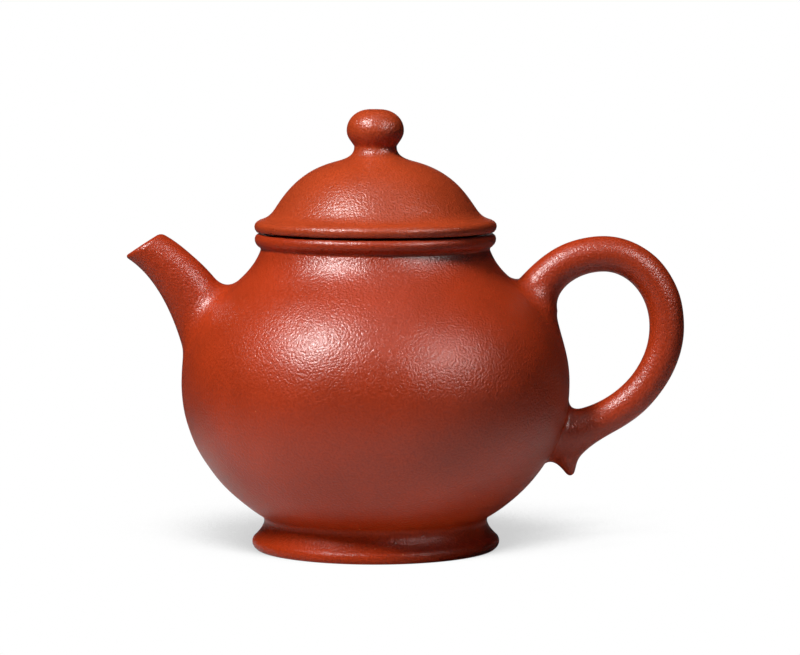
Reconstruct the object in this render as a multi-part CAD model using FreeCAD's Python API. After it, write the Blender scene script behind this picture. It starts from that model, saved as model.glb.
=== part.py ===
import FreeCAD, Part
import math
import os

# Round clay teapot built from luted slabs, rings and rolls. Lengths are in millimetres, angles in degrees.
# The axis of the pot is Z, the table is at Z = 0, the spout points to -X and the handle to +X.

# Foot ring and base
FOOT_HEIGHT = 6.8
FOOT_RADIUS = 26.75
FOOT_EDGE_HEIGHT = 2.2
FOOT_EDGE_ROUND = 0.7
FOOT_EDGE_INSET = 0.25
FOOT_FLARE_ANGLE = 138
FOOT_TREAD_WIDTH = 4.0
FOOT_INNER_LEAN = 0.6
BASE_THICKNESS = 3.0

# Globe of the body: two half ovals that meet at the belly
BELLY_RADIUS = 42.0
BELLY_RISE = 28.8
WAIST_RADIUS = 24.0
SHOULDER_RISE = 20.9
SHOULDER_RADIUS = 31.2
WALL = 3.0

# Neck and mouth
NECK_HEIGHT = 8.0
NECK_WALL = 2.6
NECK_TOP_ANGLE = 98
MOUTH_RADIUS = 22.3
MOUTH_DEPTH = 2.7
RIM_HEIGHT = 3.5
RIM_BULGE = 1.1
RIM_BULGE_RISE = 2.4
RIM_BULGE_ANGLE = 60
RIM_EDGE_ROUND = 0.7
RIM_EDGE_ANGLE = 160

# Lid
LID_SEAT_GAP = 0.2
LID_SIDE_GAP = 0.3
LID_OVERHANG = 0.1
LID_RIM_HEIGHT = 2.7
LID_RIM_ROUND = 0.8
LID_FLANGE_DEPTH = 7.5
LID_FLANGE_WALL = 2.2
LID_FLARE_HEIGHT = 2.6
LID_FLARE_WIDTH = 3.7
LID_FLARE_ANGLE = 170
LID_SLOPE_ANGLE = 124
LID_DOME_HEIGHT = 12.5
LID_TOP_RADIUS = 9.3
LID_TOP_ANGLE = 164
LID_WALL = 2.8

# Knob
VENT_RADIUS = 1.2
KNOB_NECK_RADIUS = 4.62
KNOB_NECK_HEIGHT = 3.4
KNOB_COLLAR_HEIGHT = 0.6
KNOB_RADIUS = 6.22
KNOB_LOWER_HEIGHT = 3.4
KNOB_LOWER_ANGLE = 58
KNOB_UPPER_HEIGHT = 4.6

# Spout: a horn along a curve from the wall to the tip
SPOUT_ROOT_RISE = 14.7
SPOUT_ROOT_ANGLE = 62.6
SPOUT_ROOT_RUN = 12.4
SPOUT_REACH = 8.4
SPOUT_TIP_RISE = 30.0
SPOUT_MOUTH_ANGLE = 57
SPOUT_TIP_HALF_HEIGHT = 4.05
SPOUT_ROOT_HALF_HEIGHT = 6.8
SPOUT_TIP_HALF_WIDTH = 3.8
SPOUT_ROOT_HALF_WIDTH = 5.9
SPOUT_FLARE_HEIGHT = 1.4
SPOUT_FLARE_WIDTH = 1.2
SPOUT_FLARE_START = 0.7
SPOUT_TURN_START = 0.55
SPOUT_TIP_WALL = 1.3
SPOUT_ROOT_WALL = 3.0
SPOUT_LIP_ROUND = 0.45

# Strainer in the wall behind the spout, with a hole on its axis and rings of holes around it
STRAINER_RADIUS = 4.6
STRAINER_WALL = 1.4
STRAINER_RECESS = 0.6
STRAINER_HOLE_RADIUS = 0.75
STRAINER_HOLE_PITCH = 2.3
STRAINER_HOLE_LEAD = 0.45
STRAINER_RING_ANGLE = 36

# Handle: a roll along three oval arcs, at 180 degrees by the upper root and -90 at the lower end
HANDLE_RISE = 12.4
HANDLE_ROOT_RISE = 17.3
HANDLE_ROOT_SINK = 2.0
HANDLE_TOP_REACH = 7.1
HANDLE_TOP_HEIGHT = 15.6
HANDLE_REACH = 20.9
HANDLE_LOW_INSET = 5.1
HANDLE_DROP = 22.8
HANDLE_TOP_HALF = 4.05
HANDLE_END_HALF = 3.65
HANDLE_ROOT_FLARE = 2.6
HANDLE_ROOT_DROP = 0.4
HANDLE_ROOT_FLARE_FROM = 120
HANDLE_ROOT_FLARE_SPAN = 40
HANDLE_END_FLARE = 0.9
HANDLE_END_FLARE_FROM = -55
HANDLE_END_FLARE_SPAN = 25

# Tail under the lower end of the handle
TAIL_TIP_REACH = 0.2
TAIL_TIP_DROP = 20.3
TAIL_TIP_HALF = 0.5
TAIL_LENGTH = 8.5
TAIL_LEAN = 1.2
TAIL_HALF_DEPTH = 5.8
TAIL_HALF_WIDTH = 3.2
TAIL_PLUG_HEIGHT = 1.8
TAIL_PLUG_TAPER = 0.75

# Heights of the joints between the pieces, from the table up
BASE_TOP = FOOT_HEIGHT + BASE_THICKNESS
BELLY_LEVEL = FOOT_HEIGHT + BELLY_RISE
SHOULDER_LEVEL = BELLY_LEVEL + SHOULDER_RISE
NECK_LEVEL = SHOULDER_LEVEL + NECK_HEIGHT
RIM_LEVEL = NECK_LEVEL + RIM_HEIGHT
LID_SEAT_LEVEL = RIM_LEVEL + LID_SEAT_GAP
LID_RIM_LEVEL = LID_SEAT_LEVEL + LID_RIM_HEIGHT
LID_TOP_LEVEL = LID_RIM_LEVEL + LID_DOME_HEIGHT
KNOB_SEAT_LEVEL = LID_TOP_LEVEL + KNOB_NECK_HEIGHT
KNOB_LEVEL = KNOB_SEAT_LEVEL + KNOB_LOWER_HEIGHT
KNOB_TOP_LEVEL = KNOB_LEVEL + KNOB_UPPER_HEIGHT
SPOUT_ROOT_LEVEL = BELLY_LEVEL + SPOUT_ROOT_RISE
HANDLE_ROOT_LEVEL = BELLY_LEVEL + HANDLE_ROOT_RISE

# Radii that follow from the sizes above
NECK_RADIUS = MOUTH_RADIUS + NECK_WALL
RIM_RADIUS = NECK_RADIUS + RIM_BULGE
LID_RIM_RADIUS = RIM_RADIUS + LID_OVERHANG
LID_EDGE_RADIUS = LID_RIM_RADIUS - LID_RIM_ROUND
FLANGE_RADIUS = MOUTH_RADIUS - LID_SIDE_GAP
LID_HOLLOW_RADIUS = FLANGE_RADIUS - LID_FLANGE_WALL

# Half heights of the globe's two ovals
UPPER_HALF = SHOULDER_RISE / math.sqrt(1 - (SHOULDER_RADIUS / BELLY_RADIUS) ** 2)
LOWER_HALF = BELLY_RISE / math.sqrt(1 - (WAIST_RADIUS / BELLY_RADIUS) ** 2)

# A smooth curve's end tangents are this share of the distance between its ends, as on a quarter circle
TANGENT_SHARE = 0.39

V = FreeCAD.Vector
AXIS = V(0, 0, 1)
SIDEWAYS = V(0, 1, 0)
UPRIGHT = 90
INWARD = 180
FULL_TURN = 360


def at(radius, level):
    return V(radius, 0, level)


def heading(degrees):
    """Direction in the plane of an outline: 0 is outward, 90 is up, 180 is inward."""
    angle = math.radians(degrees)
    return V(math.cos(angle), 0, math.sin(angle))


def line(start, end):
    return Part.makeLine(start, end)


def arc(start, middle, end):
    return Part.Arc(start, middle, end).toShape()


def smooth(start, start_degrees, end, end_degrees):
    """Smooth curve that leaves one point and reaches another along the given headings."""
    pull = TANGENT_SHARE * start.distanceToPoint(end)
    curve = Part.BezierCurve()
    curve.setPoles([start, start + heading(start_degrees) * pull, end - heading(end_degrees) * pull, end])
    return curve.toShape()


def oval_arc(radius, half_height, level, start, end):
    """Arc of an oval about the axis between two of its angles in radians."""
    unit = [V(math.cos(angle), 0, math.sin(angle)) for angle in (start, (start + end) / 2, end)]
    stretch = FreeCAD.Matrix()
    stretch.scale(V(radius, 1, half_height))
    stretch.move(V(0, 0, level))
    return arc(*unit).transformGeometry(stretch)


def turned(edges):
    """Solid turned about the axis of the pot from a closed outline."""
    outline = Part.Face(Part.Wire(edges))
    return outline.revolve(V(0, 0, 0), AXIS, FULL_TURN)


def oval(centre, along, across):
    """Closed oval wire with the given half axes, as a smooth curve through eight points."""
    points = []
    for index in range(8):
        angle = math.pi * index / 4
        points.append(centre + along * math.cos(angle) + across * math.sin(angle))
    curve = Part.BSplineCurve()
    curve.interpolate(Points=points, PeriodicFlag=True)
    return Part.Wire(curve.toShape())


def ease(share):
    """Smooth step from 0 to 1."""
    share = min(max(share, 0.0), 1.0)
    return share * share * (3 - 2 * share)


def between(low, high, share):
    return low + (high - low) * share


def globe_half(level):
    return UPPER_HALF if level >= BELLY_LEVEL else LOWER_HALF


def globe_radius(level, depth=0.0):
    """Radius of the globe at a height, at a depth below the outer surface."""
    share = (level - BELLY_LEVEL) / (globe_half(level) - depth)
    return (BELLY_RADIUS - depth) * math.sqrt(1 - share ** 2)


def globe_lean(level):
    """Angle of the wall's outward direction above the horizontal."""
    upward = (level - BELLY_LEVEL) / globe_half(level) ** 2
    outward = globe_radius(level) / BELLY_RADIUS ** 2
    return math.degrees(math.atan2(upward, outward))


def globe_arc(low, high, depth=0.0):
    """Edge of the globe's outline between two heights on one side of the belly."""
    half = globe_half((low + high) / 2) - depth
    start, end = [math.asin((level - BELLY_LEVEL) / half) for level in (low, high)]
    return oval_arc(BELLY_RADIUS - depth, half, BELLY_LEVEL, start, end)


def shoulder_heading():
    return globe_lean(SHOULDER_LEVEL) + UPRIGHT


def neck_curve():
    """Hollow curve from the shoulder up to the crease under the mouth rim."""
    shoulder = at(SHOULDER_RADIUS, SHOULDER_LEVEL)
    crease = at(NECK_RADIUS, NECK_LEVEL)
    return smooth(shoulder, shoulder_heading(), crease, NECK_TOP_ANGLE)


def globe_core():
    """Everything inside the outer surface of the body, to trim what is luted on to it."""
    return turned([
        line(at(0, FOOT_HEIGHT), at(WAIST_RADIUS, FOOT_HEIGHT)),
        globe_arc(FOOT_HEIGHT, BELLY_LEVEL),
        globe_arc(BELLY_LEVEL, SHOULDER_LEVEL),
        neck_curve(),
        line(at(NECK_RADIUS, NECK_LEVEL), at(0, NECK_LEVEL)),
        line(at(0, NECK_LEVEL), at(0, FOOT_HEIGHT))])


def foot_ring():
    tread = FOOT_RADIUS - FOOT_EDGE_ROUND
    inner = tread - FOOT_TREAD_WIDTH
    edge_top = at(FOOT_RADIUS - FOOT_EDGE_INSET, FOOT_EDGE_HEIGHT)
    waist = at(WAIST_RADIUS, FOOT_HEIGHT)
    inner_top = at(inner - FOOT_INNER_LEAN, FOOT_HEIGHT)
    return turned([
        line(at(inner, 0), at(tread, 0)),
        arc(at(tread, 0), at(FOOT_RADIUS, FOOT_EDGE_HEIGHT / 2), edge_top),
        smooth(edge_top, FOOT_FLARE_ANGLE, waist, UPRIGHT),
        line(waist, inner_top),
        line(inner_top, at(inner, 0))])


def base_slab():
    return turned([
        line(at(0, FOOT_HEIGHT), at(WAIST_RADIUS, FOOT_HEIGHT)),
        globe_arc(FOOT_HEIGHT, BASE_TOP),
        line(at(globe_radius(BASE_TOP), BASE_TOP), at(0, BASE_TOP)),
        line(at(0, BASE_TOP), at(0, FOOT_HEIGHT))])


def lower_wall():
    """Lower half of the globe, from the base up to its joint at the belly."""
    inner_base = at(globe_radius(BASE_TOP, WALL), BASE_TOP)
    return turned([
        globe_arc(BASE_TOP, BELLY_LEVEL),
        line(at(BELLY_RADIUS, BELLY_LEVEL), at(BELLY_RADIUS - WALL, BELLY_LEVEL)),
        globe_arc(BASE_TOP, BELLY_LEVEL, WALL),
        line(inner_base, at(globe_radius(BASE_TOP), BASE_TOP))])


def upper_wall():
    """Upper half of the globe, from the belly up to the shoulder slab."""
    inner_shoulder = at(globe_radius(SHOULDER_LEVEL, WALL), SHOULDER_LEVEL)
    wall = turned([
        globe_arc(BELLY_LEVEL, SHOULDER_LEVEL),
        line(at(SHOULDER_RADIUS, SHOULDER_LEVEL), inner_shoulder),
        globe_arc(BELLY_LEVEL, SHOULDER_LEVEL, WALL),
        line(at(BELLY_RADIUS - WALL, BELLY_LEVEL), at(BELLY_RADIUS, BELLY_LEVEL))])
    return wall.cut(strainer_seat())


def shoulder_slab():
    inner_foot = at(globe_radius(SHOULDER_LEVEL, WALL), SHOULDER_LEVEL)
    throat = at(MOUTH_RADIUS, NECK_LEVEL - MOUTH_DEPTH)
    slab = turned([
        neck_curve(),
        line(at(NECK_RADIUS, NECK_LEVEL), at(MOUTH_RADIUS, NECK_LEVEL)),
        line(at(MOUTH_RADIUS, NECK_LEVEL), throat),
        smooth(inner_foot, shoulder_heading(), throat, UPRIGHT),
        line(inner_foot, at(SHOULDER_RADIUS, SHOULDER_LEVEL))])
    return slab.cut(strainer_seat())


def mouth_rim():
    crease = at(NECK_RADIUS, NECK_LEVEL)
    widest = at(RIM_RADIUS, NECK_LEVEL + RIM_BULGE_RISE)
    top_edge = at(RIM_RADIUS - RIM_EDGE_ROUND, RIM_LEVEL)
    return turned([
        line(at(MOUTH_RADIUS, NECK_LEVEL), crease),
        smooth(crease, RIM_BULGE_ANGLE, widest, UPRIGHT),
        smooth(widest, UPRIGHT, top_edge, RIM_EDGE_ANGLE),
        line(top_edge, at(MOUTH_RADIUS, RIM_LEVEL)),
        line(at(MOUTH_RADIUS, RIM_LEVEL), at(MOUTH_RADIUS, NECK_LEVEL))])


def lid_rim():
    low_edge = at(LID_EDGE_RADIUS, LID_SEAT_LEVEL)
    widest = at(LID_RIM_RADIUS, LID_SEAT_LEVEL + LID_RIM_HEIGHT / 2)
    high_edge = at(LID_EDGE_RADIUS, LID_RIM_LEVEL)
    return turned([
        line(at(LID_HOLLOW_RADIUS, LID_SEAT_LEVEL), low_edge),
        arc(low_edge, widest, high_edge),
        line(high_edge, at(LID_HOLLOW_RADIUS, LID_RIM_LEVEL)),
        line(at(LID_HOLLOW_RADIUS, LID_RIM_LEVEL), at(LID_HOLLOW_RADIUS, LID_SEAT_LEVEL))])


def lid_flange():
    low = V(0, 0, LID_SEAT_LEVEL - LID_FLANGE_DEPTH)
    ring = Part.makeCylinder(FLANGE_RADIUS, LID_FLANGE_DEPTH, low, AXIS)
    return ring.cut(Part.makeCylinder(LID_HOLLOW_RADIUS, LID_FLANGE_DEPTH, low, AXIS))


def lid_dome():
    """Bell of the lid: a hollow flare off the rim, then a full crown up to the knob's neck."""
    edge = at(LID_EDGE_RADIUS, LID_RIM_LEVEL)
    spring = edge + V(-LID_FLARE_WIDTH, 0, LID_FLARE_HEIGHT)
    crown = at(LID_TOP_RADIUS, LID_TOP_LEVEL)
    hollow_height = LID_DOME_HEIGHT - LID_WALL
    vent_angle = math.acos(VENT_RADIUS / LID_HOLLOW_RADIUS)
    hollow_top = at(VENT_RADIUS, LID_RIM_LEVEL + hollow_height * math.sin(vent_angle))
    return turned([
        smooth(edge, LID_FLARE_ANGLE, spring, LID_SLOPE_ANGLE),
        smooth(spring, LID_SLOPE_ANGLE, crown, LID_TOP_ANGLE),
        line(crown, at(VENT_RADIUS, LID_TOP_LEVEL)),
        line(at(VENT_RADIUS, LID_TOP_LEVEL), hollow_top),
        oval_arc(LID_HOLLOW_RADIUS, hollow_height, LID_RIM_LEVEL, 0, vent_angle),
        line(at(LID_HOLLOW_RADIUS, LID_RIM_LEVEL), edge)])


def knob_neck():
    foot = at(LID_TOP_RADIUS, LID_TOP_LEVEL)
    throat = at(KNOB_NECK_RADIUS, KNOB_SEAT_LEVEL - KNOB_COLLAR_HEIGHT)
    top = at(KNOB_NECK_RADIUS, KNOB_SEAT_LEVEL)
    return turned([
        line(at(VENT_RADIUS, LID_TOP_LEVEL), foot),
        smooth(foot, LID_TOP_ANGLE, throat, UPRIGHT),
        line(throat, top),
        line(top, at(VENT_RADIUS, KNOB_SEAT_LEVEL)),
        line(at(VENT_RADIUS, KNOB_SEAT_LEVEL), at(VENT_RADIUS, LID_TOP_LEVEL))])


def knob():
    seat = at(KNOB_NECK_RADIUS, KNOB_SEAT_LEVEL)
    widest = at(KNOB_RADIUS, KNOB_LEVEL)
    top = at(VENT_RADIUS, KNOB_TOP_LEVEL)
    return turned([
        line(at(VENT_RADIUS, KNOB_SEAT_LEVEL), seat),
        smooth(seat, KNOB_LOWER_ANGLE, widest, UPRIGHT),
        smooth(widest, UPRIGHT, top, INWARD),
        line(top, at(VENT_RADIUS, KNOB_SEAT_LEVEL))])


def spout_root():
    """Point on the wall where the middle of the spout comes out."""
    return at(-globe_radius(SPOUT_ROOT_LEVEL), SPOUT_ROOT_LEVEL)


def spout_outward():
    """The wall's outward direction at the spout's root."""
    return heading(INWARD - globe_lean(SPOUT_ROOT_LEVEL))


def spout_tip():
    return at(-(BELLY_RADIUS + SPOUT_REACH), BELLY_LEVEL + SPOUT_TIP_RISE)


def spout_section(share, hollow):
    """Oval across the spout, at share 0 by the tip and 1 at the wall; hollow gives the bore's oval."""
    root = spout_root()
    tip = spout_tip()
    bend = root + heading(INWARD - SPOUT_ROOT_ANGLE) * SPOUT_ROOT_RUN
    centre = tip * (1 - share) ** 2 + bend * (2 * share * (1 - share)) + root * share ** 2
    course = (bend - tip) * (1 - share) + (root - bend) * share
    rise = math.degrees(math.atan2(-course.z, course.x))
    turn = ease((share - SPOUT_TURN_START) / (1 - SPOUT_TURN_START))
    across_way = heading(UPRIGHT - between(rise, globe_lean(SPOUT_ROOT_LEVEL), turn))
    flare = max(0.0, (share - SPOUT_FLARE_START) / (1 - SPOUT_FLARE_START)) ** 2
    height = between(SPOUT_TIP_HALF_HEIGHT, SPOUT_ROOT_HALF_HEIGHT, share) + SPOUT_FLARE_HEIGHT * flare
    width = between(SPOUT_TIP_HALF_WIDTH, SPOUT_ROOT_HALF_WIDTH, share) + SPOUT_FLARE_WIDTH * flare
    wall = between(SPOUT_TIP_WALL, SPOUT_ROOT_WALL, share) if hollow else 0.0
    return oval(centre, across_way * (height - wall), SIDEWAYS * (width - wall))


def spout():
    outer_shares = (-0.25, 0.0, 0.25, 0.5, 0.7, 0.85, 1.0, 1.12)
    bore_shares = (-0.3, 0.0, 0.25, 0.5, 0.7, 0.85, 1.0, 1.2)
    horn = Part.makeLoft([spout_section(share, False) for share in outer_shares], True)
    bore = Part.makeLoft([spout_section(share, True) for share in bore_shares], True)
    size = 4 * SPOUT_ROOT_HALF_HEIGHT
    beyond = Part.makeBox(size, size, size, V(-size / 2, -size / 2, 0))
    tilt = FreeCAD.Rotation(SIDEWAYS, SPOUT_MOUTH_ANGLE - UPRIGHT)
    beyond.Placement = FreeCAD.Placement(spout_tip(), tilt)
    tube = horn.cut(globe_core()).cut(bore).cut(beyond)
    lip = [edge for edge in tube.Edges if on_spout_mouth(edge)]
    return tube.makeFillet(min(SPOUT_LIP_ROUND, SPOUT_TIP_WALL / 3), lip)


def on_spout_mouth(edge):
    facing = heading(INWARD - SPOUT_MOUTH_ANGLE)
    return all(abs((vertex.Point - spout_tip()).dot(facing)) < 1e-4 for vertex in edge.Vertexes)


def strainer_seat():
    """Round hole through the wall behind the spout, which the strainer's collar fills."""
    outward = spout_outward()
    return Part.makeCylinder(STRAINER_RADIUS, 4 * WALL, spout_root() - outward * (2 * WALL), outward)


def strainer():
    """Pierced clay ball set in the wall, its collar in the hole and its dome inside the pot."""
    inner = STRAINER_RADIUS - STRAINER_WALL
    ball = turned([
        line(at(inner, -STRAINER_RECESS), at(STRAINER_RADIUS, -STRAINER_RECESS)),
        line(at(STRAINER_RADIUS, -STRAINER_RECESS), at(STRAINER_RADIUS, -WALL)),
        strainer_dome(STRAINER_RADIUS),
        line(at(0, -WALL - STRAINER_RADIUS), at(0, -WALL - inner)),
        strainer_dome(inner),
        line(at(inner, -WALL), at(inner, -STRAINER_RECESS))])
    holes = [strainer_hole(0, 0)]
    for polar in range(STRAINER_RING_ANGLE, UPRIGHT, STRAINER_RING_ANGLE):
        girth = 2 * math.pi * (inner + STRAINER_WALL / 2) * math.sin(math.radians(polar))
        count = int(girth / STRAINER_HOLE_PITCH)
        for index in range(count):
            holes.append(strainer_hole(polar, FULL_TURN * index / count))
    pierced = ball.cut(holes)
    pierced.Placement = FreeCAD.Placement(spout_root(), FreeCAD.Rotation(AXIS, spout_outward()))
    return pierced


def strainer_dome(radius):
    """Quarter circle from the dome's equator to its pole."""
    equator, middle, pole = [at(0, -WALL) + heading(degrees) * radius for degrees in (0, -45, -90)]
    return arc(equator, middle, pole)


def strainer_hole(polar, around):
    """Hole straight out through the dome, begun in its hollow clear of the neighbouring holes."""
    way = FreeCAD.Rotation(AXIS, around).multVec(heading(polar - UPRIGHT))
    start = at(0, -WALL) + way * (STRAINER_RADIUS - STRAINER_WALL - STRAINER_HOLE_LEAD)
    return Part.makeCylinder(STRAINER_HOLE_RADIUS, STRAINER_RADIUS, start, way)


def handle_arc(degrees):
    """Middle, half width and half height of the oval arc that the handle follows at this angle."""
    top_x = BELLY_RADIUS + HANDLE_TOP_REACH
    out_x = BELLY_RADIUS + HANDLE_REACH
    low_x = BELLY_RADIUS - HANDLE_LOW_INSET
    root_x = globe_radius(HANDLE_ROOT_LEVEL) - HANDLE_ROOT_SINK
    if degrees >= 90:
        return top_x, top_x - root_x, HANDLE_TOP_HEIGHT
    if degrees >= 0:
        return top_x, out_x - top_x, HANDLE_TOP_HEIGHT
    return low_x, out_x - low_x, HANDLE_DROP


def handle_section(degrees):
    """Round section of the roll; by the upper root it faces along the wall's outward direction."""
    middle, half_width, half_height = handle_arc(degrees)
    way = heading(degrees)
    centre = at(middle + half_width * way.x, BELLY_LEVEL + HANDLE_RISE + half_height * way.z)
    tilt = math.degrees(math.atan2(-half_height * way.x, half_width * way.z))
    if degrees > 90:
        tilt = min(tilt, globe_lean(HANDLE_ROOT_LEVEL))
    root_flare = max(0.0, (degrees - HANDLE_ROOT_FLARE_FROM) / HANDLE_ROOT_FLARE_SPAN) ** 3
    end_flare = max(0.0, (HANDLE_END_FLARE_FROM - degrees) / HANDLE_END_FLARE_SPAN) ** 2
    half = between(HANDLE_TOP_HALF, HANDLE_END_HALF, (180 - degrees) / 270)
    half += HANDLE_ROOT_FLARE * root_flare + HANDLE_END_FLARE * end_flare
    across_way = heading(tilt + UPRIGHT)
    centre -= across_way * (HANDLE_ROOT_DROP * root_flare)
    return oval(centre, across_way * half, SIDEWAYS * half)


def tail():
    """Pointed end of the roll, pressed down along the belly and lifted off it at the tip."""
    tip = at(BELLY_RADIUS + TAIL_TIP_REACH, BELLY_LEVEL - TAIL_TIP_DROP)
    sections = []
    for share in (0.0, 0.2, 0.5, 0.8, 1.0):
        centre = tip + V(-TAIL_LEAN * ease(2 * share), 0, TAIL_LENGTH * share)
        depth = between(TAIL_TIP_HALF, TAIL_HALF_DEPTH, share)
        width = between(TAIL_TIP_HALF, TAIL_HALF_WIDTH, math.sin(share * math.pi / 2))
        sections.append(oval(centre, V(depth, 0, 0), SIDEWAYS * width))
    plug_depth = TAIL_HALF_DEPTH * TAIL_PLUG_TAPER
    plug_width = TAIL_HALF_WIDTH * TAIL_PLUG_TAPER
    sections.append(oval(centre + V(0, 0, TAIL_PLUG_HEIGHT), V(plug_depth, 0, 0), SIDEWAYS * plug_width))
    return Part.makeLoft(sections, True)


def handle():
    angles = (172, 160, 145, 130, 110, 90, 70, 45, 20, 0, -20, -40, -55, -68, -80, -90)
    roll = Part.makeLoft([handle_section(degrees) for degrees in angles], True)
    return roll.fuse(tail()).cut(globe_core())


PIECES = {
    "foot_ring": foot_ring,
    "base_slab": base_slab,
    "lower_wall": lower_wall,
    "upper_wall": upper_wall,
    "shoulder_slab": shoulder_slab,
    "mouth_rim": mouth_rim,
    "spout": spout,
    "strainer": strainer,
    "handle": handle,
    "lid_rim": lid_rim,
    "lid_flange": lid_flange,
    "lid_dome": lid_dome,
    "knob_neck": knob_neck,
    "knob": knob,
}

os.makedirs("parts", exist_ok=True)
for name, make in PIECES.items():
    shape = make()
    shape.exportStep("parts/" + name + ".step")
    print(name, "solids", len(shape.Solids), "valid", shape.isValid(), "volume %.1f" % shape.Volume)
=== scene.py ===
import math

import bmesh
import bpy
import numpy as np
from mathutils import Matrix, Vector


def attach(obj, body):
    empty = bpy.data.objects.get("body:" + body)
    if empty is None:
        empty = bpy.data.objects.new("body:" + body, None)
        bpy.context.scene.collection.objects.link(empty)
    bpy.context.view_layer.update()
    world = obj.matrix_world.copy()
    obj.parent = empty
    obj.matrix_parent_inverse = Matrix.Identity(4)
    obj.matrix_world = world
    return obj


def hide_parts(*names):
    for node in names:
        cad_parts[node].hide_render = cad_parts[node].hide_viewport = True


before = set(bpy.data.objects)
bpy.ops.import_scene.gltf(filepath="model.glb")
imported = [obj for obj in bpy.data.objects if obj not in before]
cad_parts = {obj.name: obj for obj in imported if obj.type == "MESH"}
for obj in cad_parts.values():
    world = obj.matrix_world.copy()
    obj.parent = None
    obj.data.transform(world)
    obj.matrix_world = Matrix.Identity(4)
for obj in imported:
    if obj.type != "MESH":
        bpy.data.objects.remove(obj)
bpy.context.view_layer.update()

# Lengths are in millimetres and angles in degrees, and each mesh turns to metres as it is made.
# The spout points to -X, the handle to +X, and the camera looks along +Y.
MM = 0.001


def node_points(node):
    """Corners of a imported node's mesh."""
    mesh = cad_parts[node].data
    points = np.empty(len(mesh.vertices) * 3)
    mesh.vertices.foreach_get("co", points)
    return points.reshape(-1, 3) / MM


def levels(node):
    """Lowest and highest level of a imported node."""
    heights = node_points(node)[:, 2]
    return heights.min(), heights.max()


def radii(node):
    """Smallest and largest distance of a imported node's corners from the axis."""
    points = node_points(node)
    distances = np.hypot(points[:, 0], points[:, 1])
    return distances.min(), distances.max()


# Levels and radii of the pot, read from the frame
FOOT_LEVEL = levels("foot_ring")[1]
BASE_LEVEL = levels("base_slab")[1]
BELLY_LEVEL, SHOULDER_LEVEL = levels("upper_wall")
NECK_LEVEL = levels("shoulder_slab")[1]
RIM_LEVEL = levels("mouth_rim")[1]
FOOT_INNER_RADIUS, FOOT_RADIUS = radii("foot_ring")
BELLY_RADIUS = radii("upper_wall")[1]
SHOULDER_RADIUS = radii("shoulder_slab")[1]
MOUTH_RADIUS, RIM_RADIUS = radii("mouth_rim")

# Levels and radii of the lid, read from the frame
FLANGE_LEVEL = levels("lid_flange")[0]
SEAT_LEVEL, LID_RIM_LEVEL = levels("lid_rim")
LID_TOP_LEVEL = levels("lid_dome")[1]
KNOB_SEAT_LEVEL, KNOB_TOP_LEVEL = levels("knob")
HOLLOW_RADIUS, FLANGE_RADIUS = radii("lid_flange")
LID_RIM_RADIUS = radii("lid_rim")[1]
VENT_RADIUS, KNOB_RADIUS = radii("knob")
LID_TOP_RADIUS = radii("knob_neck")[1]

# Outline of the pot
FOOT_EDGE_ROUND = 0.7
FOOT_EDGE_HEIGHT = 2.2
FOOT_EDGE_INSET = 0.25
FOOT_FLARE_ANGLE = 138
FOOT_TREAD_WIDTH = 4.0
WAIST_RADIUS = 24.0
WAIST_ROUND = 1.1
WALL = 3.0
BASE_CORNER_ROUND = 3.0
NECK_RADIUS = 24.6
NECK_TOP_ANGLE = 109
CREASE_RISE = 0.4
CREASE_ROUND = 0.15
MOUTH_DEPTH = 2.7
RIM_BULGE_RISE = 2.4
RIM_BULGE_ANGLE = 33
RIM_EDGE_ROUND = 0.7
RIM_EDGE_ANGLE = 160
EDGE_ROUND = 0.4

# Outline of the lid
LID_RIM_ROUND = 0.8
LID_RIM_UNDER = 0.5
LID_RIM_EDGE_ROUND = 0.8
LID_TOP_TRIM = 0.45
LID_GAP = 0.3
LID_BEARING_WIDTH = 1.0
LID_FLARE_HEIGHT = 2.6
LID_FLARE_WIDTH = 3.7
LID_FLARE_ANGLE = 170
LID_SLOPE_ANGLE = 124
LID_TOP_ANGLE = 164
LID_WALL = 2.8
KNOB_NECK_RADIUS = 4.62
KNOB_COLLAR_HEIGHT = 0.2
KNOB_LOWER_HEIGHT = 3.4
KNOB_LOWER_ANGLE = 58

# Spout
SPOUT_ROOT_RISE = 14.7
SPOUT_ROOT_ANGLE = 62.6
SPOUT_ROOT_RUN = 12.4
SPOUT_REACH = 8.4
SPOUT_TIP_RISE = 29.9
SPOUT_MOUTH_ANGLE = 57
SPOUT_TIP_HALF_HEIGHT = 4.15
SPOUT_ROOT_HALF_HEIGHT = 6.8
SPOUT_TIP_HALF_WIDTH = 3.85
SPOUT_ROOT_HALF_WIDTH = 5.9
SPOUT_TIP_WALL = 1.3
SPOUT_ROOT_WALL = 3.0
SPOUT_LIP_ROUND = 1.0
SPOUT_TOP_FILLET = 4.2
SPOUT_SIDE_FILLET = 4.5
SPOUT_LOW_FILLET = 1.6
SPOUT_FILLET_RISE = 6.0
SPOUT_COURSE_START = -0.4
SPOUT_COURSE_END = 1.35

# Hole in the wall for the strainer; the drill reaches this many wall thicknesses to each side
STRAINER_RADIUS = 4.6
DRILL_WALLS = 1.3
DRILL_SIDES = 48

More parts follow.
